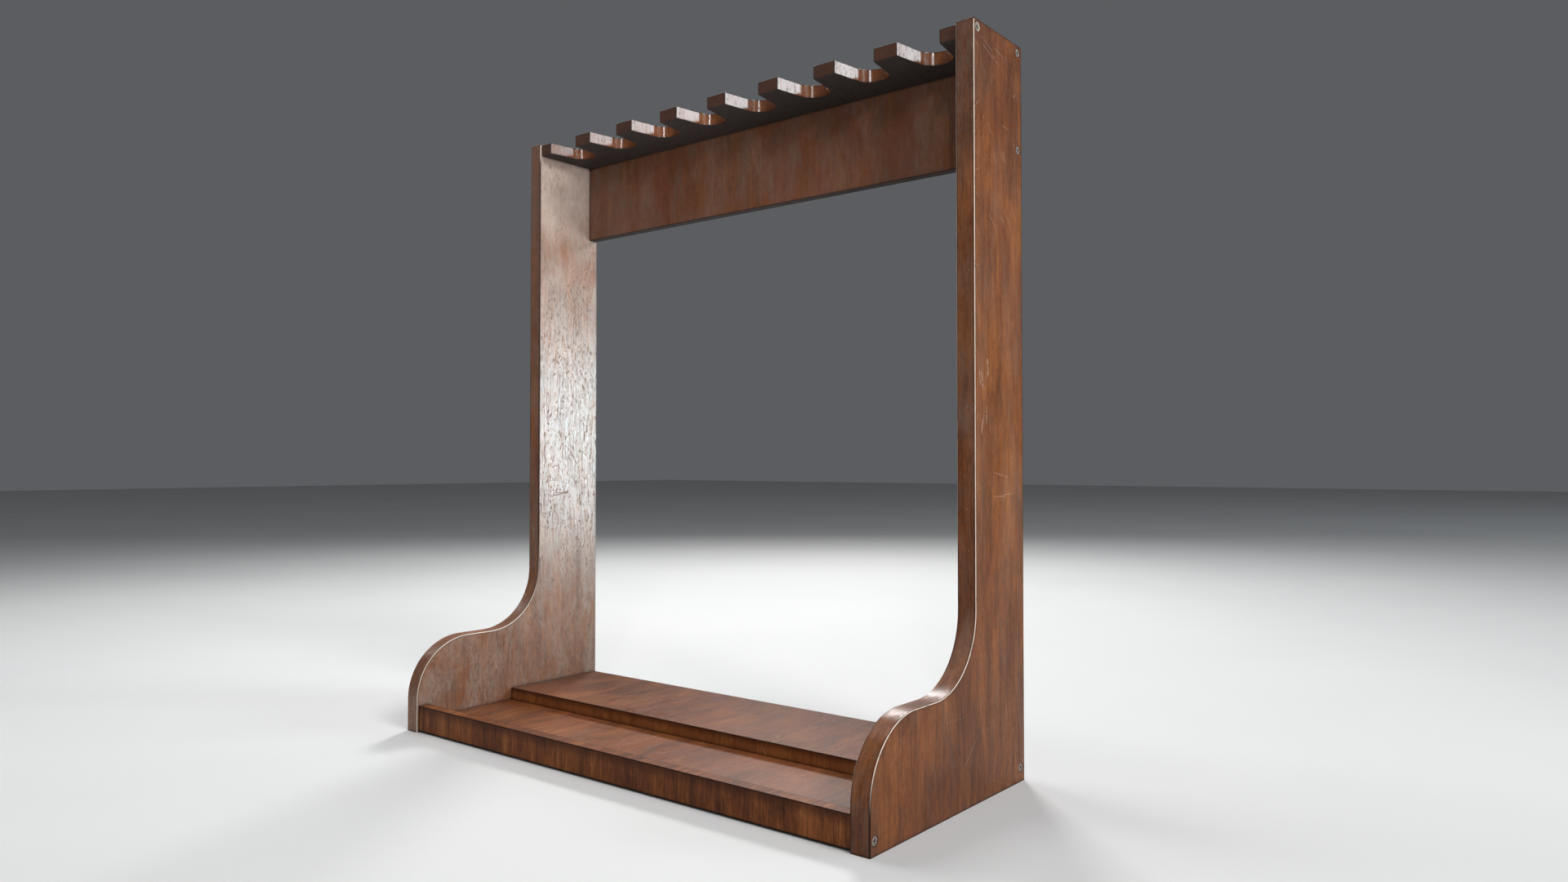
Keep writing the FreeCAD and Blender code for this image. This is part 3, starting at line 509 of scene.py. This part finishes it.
    def shade_front(self, crown):
        """Dull the fingers' front ends, and add their upright corners to the dark arris lines."""
        graph, look = self.graph, self.look
        upright = graph.math("ABSOLUTE", self.normal[0])
        rise = graph.smooth(upright, 0.25, 0.45)
        fall = graph.smooth(upright, 0.97, 0.90)
        corner_line = graph.math("MULTIPLY", rise, fall)
        at_front = graph.smooth(self.xyz[1], look.front + 1.1 * MM, look.front + 0.9 * MM)
        line = graph.math("MULTIPLY", corner_line, at_front)
        crown = graph.math("MAXIMUM", crown, line)
        self.lay(at_front, look.front_shade, FINGER_END)
        return crown

    def roughness(self):
        """Glossier in the lacquer, rougher in haze, marks, pits, dark arris lines and pores."""
        graph = self.graph
        centred = graph.math("SUBTRACT", self.fibre, 0.5)
        streak = graph.math("MULTIPLY", centred, 0.20)
        rough = graph.math("ADD", streak, self.look.gloss)
        for mask, change in ((self.dull_and_sheen, 0.12), (self.facing_down, 0.6), (self.marks, 0.20),
                             (self.pits, 0.45), (self.worn_and_highlit, -0.08), (self.dark_arris, 0.45)):
            rough = graph.math("ADD", rough, graph.math("MULTIPLY", mask, change))
        return graph.math("ADD", rough, graph.math("MULTIPLY", self.pores, 0.12), True)

    def relief(self):
        """The bump of fibres, pores, scratches, pits and broad unevenness."""
        graph = self.graph
        height = graph.weighted((self.fibre, 0.05), (self.pores, -0.04), (self.marks, -0.12),
                                (self.mottle, 0.03), (self.patch, 0.25), (self.pits, -0.15))
        return graph.add("Bump", {"Strength": self.look.relief, "Distance": RELIEF_DEPTH,
                                  "Height": height})


def stained_wood(name, grain, seed, **changes):
    """Worn, lacquered, reddish-brown wood with its grain, pores, scratches, worn edges that also
    paint highlights, and painted shade and sheen.
    """
    material = bpy.data.materials.new(name)
    material.use_nodes = True
    look = SimpleNamespace(**{**PLAIN_LOOK, **changes})
    surface = Surface(Graph(material.node_tree), grain, seed, look)
    surface.stain()
    surface.cast()
    surface.cloud_over()
    surface.scratch()
    surface.pit()
    surface.darken_faces()
    surface.wear_edges()
    finish_shader(material, surface.colour, surface.roughness(), surface.relief())
    shader = material.node_tree.nodes["Principled BSDF"]
    shader.inputs["IOR"].default_value = LACQUER_IOR
    shader.inputs["Specular IOR Level"].default_value = look.shine
    return material


def finish_shader(material, colour, rough, bump):
    """Link a material's colour, roughness and bump to its shader."""
    shader = material.node_tree.nodes["Principled BSDF"]
    links = material.node_tree.links
    links.new(colour, shader.inputs["Base Color"])
    if rough is not None:
        links.new(rough, shader.inputs["Roughness"])
    links.new(bump, shader.inputs["Normal"])


# ---------------------------------------------------------------- metal and dowel wood

def scaled(tint, factor):
    """A colour made darker or lighter, never past white."""
    return tuple(min(1.0, channel * factor) for channel in tint[:3]) + (1.0,)


def dull_steel(name, tint, roughness, grain_scale):
    """Zinc-plated steel with a crystalline mottle, fine scuffs and grime in its low places."""
    material = bpy.data.materials.new(name)
    material.use_nodes = True
    graph = Graph(material.node_tree)
    coordinate = graph.tree.nodes.new("ShaderNodeTexCoord")
    place = coordinate.outputs["Object"]
    spangle = graph.add("TexVoronoi", {"Vector": place, "Scale": grain_scale}, output=1)
    patch = graph.add("RGBToBW", {0: spangle})
    cloud = graph.noise(place, 400.0, 400.0, 4.0, 0.6)
    scuff = graph.noise(place, 2600.0, 500.0, 3.0, 0.7)
    shade = graph.weighted((patch, 0.16), (cloud, 0.5), (scuff, 0.34))
    colour = graph.ramp(shade, ((0.25, scaled(tint, 0.45)), (0.55, tint),
                                (0.75, scaled(tint, 1.25))))
    rough = graph.math("ADD", graph.math("MULTIPLY", shade, 0.3), roughness - 0.15, True)
    bump = graph.add("Bump", {"Strength": 0.35, "Distance": 0.2 * MM, "Height": shade})
    finish_shader(material, colour, rough, bump)
    shader = material.node_tree.nodes["Principled BSDF"]
    shader.inputs["Metallic"].default_value = 0.6
    return material


def plain_beech(name):
    """Pale unfinished dowel wood with short dark flecks along its length."""
    material = bpy.data.materials.new(name)
    material.use_nodes = True
    graph = Graph(material.node_tree)
    place, _xyz, _normal = grain_vector(graph, GRAIN_UPRIGHT, 9.0)
    fibre = graph.noise(place, 700.0, 60.0, 4.0, 0.6)
    fleck = graph.smooth(graph.noise(place, 1600.0, 300.0, 2.0), 0.40, 0.30)
    colour = graph.ramp(fibre, ((0.3, srgb(176, 138, 96)), (0.7, srgb(216, 184, 142))))
    colour = graph.tint(graph.math("MULTIPLY", fleck, 0.5), colour, srgb(120, 84, 54))
    bump = graph.add("Bump", {"Strength": 0.4, "Distance": 0.2 * MM, "Height": fibre})
    finish_shader(material, colour, None, bump)
    shader = material.node_tree.nodes["Principled BSDF"]
    shader.inputs["Roughness"].default_value = 0.7
    return material


# ---------------------------------------------------------------- materials on the pieces

POST_MIDDLE_Y = WALL_Y - 5 * CM
POST_FRONT_Y = WALL_Y - 9 * CM
MIDDLE_Z = (low.z + high.z) / 2


def strewn(draw, count, place, spread, half_length, half_width, lean):
    """Marks about a (y, z) place, each a little off the others' length and lean in degrees."""
    marks = []
    for _mark in range(count):
        y = place[0] + draw.uniform(-1.0, 1.0) * spread[0]
        z = place[1] + draw.uniform(-1.0, 1.0) * spread[1]
        length = half_length * draw.uniform(0.6, 1.0)
        turn = math.radians(lean + draw.uniform(-12.0, 12.0))
        marks.append((y, z, length, half_width, turn))
    return marks


def right_panel_marks():
    """Scratches on the outer face: by the top corner, above and below the middle, by the foot."""
    draw = random.Random(3)
    corner = strewn(draw, 4, place=(POST_MIDDLE_Y - 1 * CM, high.z - 2 * CM),
                    spread=(2 * CM, 1 * CM), half_length=16 * MM, half_width=0.45 * MM,
                    lean=-68)
    upper = strewn(draw, 6, place=(POST_MIDDLE_Y, high.z - 15 * CM), spread=(3 * CM, 4 * CM),
                   half_length=10 * MM, half_width=0.50 * MM, lean=-45)
    level = strewn(draw, 3, place=(POST_MIDDLE_Y, MIDDLE_Z - 8 * CM), spread=(2 * CM, 2 * CM),
                   half_length=20 * MM, half_width=0.45 * MM, lean=90)
    rubbed = strewn(draw, 6, place=(POST_FRONT_Y + 1 * CM, MIDDLE_Z + 1 * CM),
                    spread=(1 * CM, 3 * CM), half_length=11 * MM, half_width=1.1 * MM, lean=0)
    foot = strewn(draw, 1, place=(WALL_Y - 11 * CM, low.z + 6 * CM), spread=(1 * CM, 1 * CM),
                  half_length=28 * MM, half_width=0.40 * MM, lean=50)
    return (*corner, *upper, *level, *rubbed, *foot)


def left_panel_dents():
    """Dark dents about the middle of the inner face, and cross-grain scratches below it."""
    draw = random.Random(7)
    level = strewn(draw, 2, place=(POST_MIDDLE_Y - 1 * CM, MIDDLE_Z - 9 * CM),
                   spread=(1 * CM, 0.5 * CM), half_length=22 * MM, half_width=0.50 * MM,
                   lean=90)
    dents = strewn(draw, 7, place=(POST_MIDDLE_Y - 2 * CM, MIDDLE_Z), spread=(2 * CM, 10 * CM),
                   half_length=4 * MM, half_width=1.2 * MM, lean=40)
    rubs = strewn(draw, 2, place=(POST_MIDDLE_Y + 3 * CM, MIDDLE_Z), spread=(1 * CM, 4 * CM),
                  half_length=9 * MM, half_width=1.2 * MM, lean=0)
    return (*level, *dents, *rubs)


def set_material(node, material):
    """Give a carried-over CAD node its own finish."""
    for slot in nodes[node].material_slots:
        slot.material = material


def side_panel_wood():
    """The two side panels: the left one's inner face is hazy with painted sheen, the right one's
    outer is worn.
    """
    left = stained_wood("wood_left_panel", GRAIN_SWEPT, 1.0, haze=0.75, inner=1,
                        outer_haze=0.10, bloom=(0.58, 0.68), tone=-0.02, redness=0.15,
                        patches=0.8, greyness=0.15, pitting=0.9, dents=left_panel_dents(),
                        bright_arris=((0.22, 0.12), (0.705, 0.725)))
    right = stained_wood("wood_right_panel", GRAIN_SWEPT, 2.0, haze=0.55, inner=-1,
                         outer_haze=0.20, haze_reach=((0.12, 0.30), (0.68, 0.45)),
                         redness=0.12, greyness=0.35, patches=1.2, gloss=0.30, shine=0.12,
                         wear=0.65, pitting=0.4, marks=right_panel_marks(),
                         deeper=((Z, 0.56, 0.68, -0.20), (Z, 0.22, 0.08, -0.16)),
                         bright_arris=((0.030, 0.075),))
    return {"left_side_panel": left, "right_side_panel": right}


def shelf_and_rail_wood():
    """The smooth, glossy notched shelf and the plainer rail under it."""
    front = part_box("cue_notch_shelf")[0].y
    shelf = stained_wood("wood_shelf", GRAIN_UPRIGHT, 3.0, tone=-0.18, haze=0.0, gloss=0.15,
                         patches=0.5, redness=0.0, relief=0.10, wear=0.3, greyness=0.0,
                         streaks=0.35, shine=0.6, pitting=0.5, front=front, front_shade=0.5,
                         deeper=((Y, front + 1.2 * MM, front + 0.4 * MM, -0.20),))
    rail = stained_wood("wood_rail", GRAIN_UPRIGHT, 4.0, tone=-0.06, haze=0.35, gloss=0.40,
                        patches=0.25, streaks=0.6, redness=0.5, wear=0.2, greyness=0.6)
    return {"cue_notch_shelf": shelf, "back_rail": rail}


def base_wood():
    """The three boards of the base, more strongly figured than the rest."""
    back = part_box("front_lip")[1].y
    lip = stained_wood("wood_lip", GRAIN_UPRIGHT, 5.0, streaks=1.5, patches=1.6, haze=0.0,
                       gloss=0.45, redness=0.2, shine=0.08, tone=-0.08, burn=(0.018, 0.029),
                       wear=0.5, greyness=0.0,
                       deeper=((Y, back - 1.6 * MM, back - 0.9 * MM, -0.7),))
    tread = stained_wood("wood_tread", GRAIN_UPRIGHT, 6.0, haze=0.04, gloss=0.36,
                         redness=0.3, shine=0.12, top_tone=-0.06, patches=1.3, streaks=0.6,
                         greyness=0.05, wear=1.3)
    step = stained_wood("wood_step", GRAIN_UPRIGHT, 7.0, haze=0.02, gloss=0.36, redness=0.3,
                        shine=0.10, tone=0.26, top_tone=-0.40, patches=1.3, streaks=0.7,
                        burn=(0.0225, 0.0295), greyness=0.05, wear=1.3)
    return {"front_lip": lip, "tread_board": tread, "rear_step": step}


def finish_cad_nodes():
    """Every CAD node's material."""
    for wood in (side_panel_wood(), shelf_and_rail_wood(), base_wood()):
        for node, material in wood.items():
            set_material(node, material)
    screw = dull_steel("screw_zinc", srgb(148, 134, 127), 0.55, 900.0)
    plate = dull_steel("plate_zinc", srgb(188, 186, 182), 0.36, 420.0)
    dowel = plain_beech("dowel_beech")
    for node in nodes:
        if node.endswith("screw"):
            set_material(node, screw)
        elif node.endswith("keyhole_plate"):
            set_material(node, plate)
        elif "dowel" in node:
            set_material(node, dowel)


# ---------------------------------------------------------------- stage

def pale_floor():
    """A wide, pale, matt floor under the feet."""
    mesh = bpy.data.meshes.new("floor")
    reach = 14.0
    corners = [(-reach, -reach, low.z), (reach, -reach, low.z), (reach, reach, low.z),
               (-reach, reach, low.z)]
    mesh.from_pydata(corners, [], [(0, 1, 2, 3)])
    floor = bpy.data.objects.new("floor", mesh)
    bpy.context.scene.collection.objects.link(floor)
    material = bpy.data.materials.new("floor_pale")
    material.use_nodes = True
    graph = Graph(material.node_tree)
    coordinate = graph.tree.nodes.new("ShaderNodeTexCoord")
    cloud = graph.noise(coordinate.outputs["Object"], 1.2, 1.2, 3.0)
    colour = graph.ramp(cloud, ((0.3, (0.60, 0.60, 0.60, 1)), (0.7, (0.64, 0.64, 0.635, 1))))
    shader = material.node_tree.nodes["Principled BSDF"]
    material.node_tree.links.new(colour, shader.inputs["Base Color"])
    shader.inputs["Roughness"].default_value = 0.75
    shader.inputs["Specular IOR Level"].default_value = 0.25
    mesh.materials.append(material)


def soft_box(name, location, target, size, watts, colour=(1, 1, 1), spread=180):
    """A rectangular studio light that faces a point. Its spread is in degrees."""
    light = bpy.data.lights.new(name, "AREA")
    light.shape = "RECTANGLE"
    light.size, light.size_y = size
    light.energy = watts
    light.color = colour
    light.spread = math.radians(spread)
    lamp = bpy.data.objects.new(name, light)
    lamp.location = location
    lamp.rotation_euler = (Vector(target) - Vector(location)).to_track_quat("-Z", "Y").to_euler()
    lamp.visible_camera = False
    bpy.context.scene.collection.objects.link(lamp)


def studio_lights():
    """Broad lights at the right and above, small ones behind, a thin one in front."""
    soft_box("key_right", (2.5, -0.45, 2.45), target=(0.0, 0.0, 0.35), size=(1.2, 1.2),
             watts=78.0)
    soft_box("rim_right", (7.3, 4.6, 3.4), target=(0.0, 0.08, 0.6), size=(2.8, 1.6),
             watts=165.0, colour=(0.86, 0.95, 1.0))
    soft_box("top_left", (-0.95, 0.15, 2.1), target=(0.0, 0.0, 0.3), size=(1.0, 1.0),
             watts=20.0)
    soft_box("soft_behind", (-1.24, 1.86, 1.86), target=(0.32, 0.0, 0.1), size=(0.6, 0.45),
             watts=46.0)
    soft_box("soft_left", (-2.1, -0.3, 1.4), target=(-0.32, -0.05, 0.1), size=(0.25, 0.25),
             watts=3.0)
    soft_box("back_low", (-1.9, 2.9, 1.3), target=(0.2, 0.0, 0.1), size=(1.0, 0.7),
             watts=2.0, colour=(1.0, 0.87, 0.82))
    left_panel_lights()
    soft_box("strip_front", (1.8, -2.2, 1.7), target=(0.1, 0.08, 0.72), size=(0.08, 0.6),
             watts=15.0)
    grey_surround()


def left_panel_lights():
    """Strips that the left panel's inner face mirrors, and a small fill under the shelf."""
    soft_box("strip_behind", (0.22, 0.53, 0.37), target=(-0.31, 0.08, 0.36),
             size=(0.16, 0.36), watts=0.95, colour=(0.68, 0.91, 1.0), spread=60)
    soft_box("strip_behind_upper", (0.22, 0.53, 0.82), target=(-0.31, 0.08, 0.64),
             size=(0.16, 0.45), watts=0.16, spread=90)
    soft_box("fill_left", (0.20, 0.06, 0.60), target=(-0.31, 0.085, 0.67),
             size=(0.10, 0.10), watts=0.075, spread=45)


def grey_surround():
    """The even grey light that comes from all round."""
    world = bpy.data.worlds.new("surround")
    world.use_nodes = True
    background = world.node_tree.nodes["Background"]
    background.inputs["Color"].default_value = (0.105, 0.110, 0.117, 1)
    background.inputs["Strength"].default_value = 1.0
    bpy.context.scene.world = world


# The camera that the photograph's edges gave: metres, millimetres of lens, degrees.
EYE_RIGHT = 0.8103
EYE_FROM_WALL = 0.9833
EYE_HEIGHT = 0.3150
LENS_MM = 24.44
TILT_UP = 1.226
TURN_LEFT = 38.695


def main_camera():
    """Low, close and to the right, looking left along the rack."""
    camera = bpy.data.cameras.new("camera")
    camera.sensor_width = 36.0
    camera.lens = LENS_MM
    camera.clip_start = 0.02
    camera.clip_end = 60.0
    eye = bpy.data.objects.new("camera", camera)
    eye.location = (EYE_RIGHT, WALL_Y - EYE_FROM_WALL, EYE_HEIGHT)
    eye.rotation_euler = (math.radians(90 + TILT_UP), 0.0, math.radians(TURN_LEFT))
    bpy.context.scene.collection.objects.link(eye)
    bpy.context.scene.camera = eye


finish_cad_nodes()
pale_floor()
studio_lights()
main_camera()
bpy.context.scene.view_settings.view_transform = "Standard"
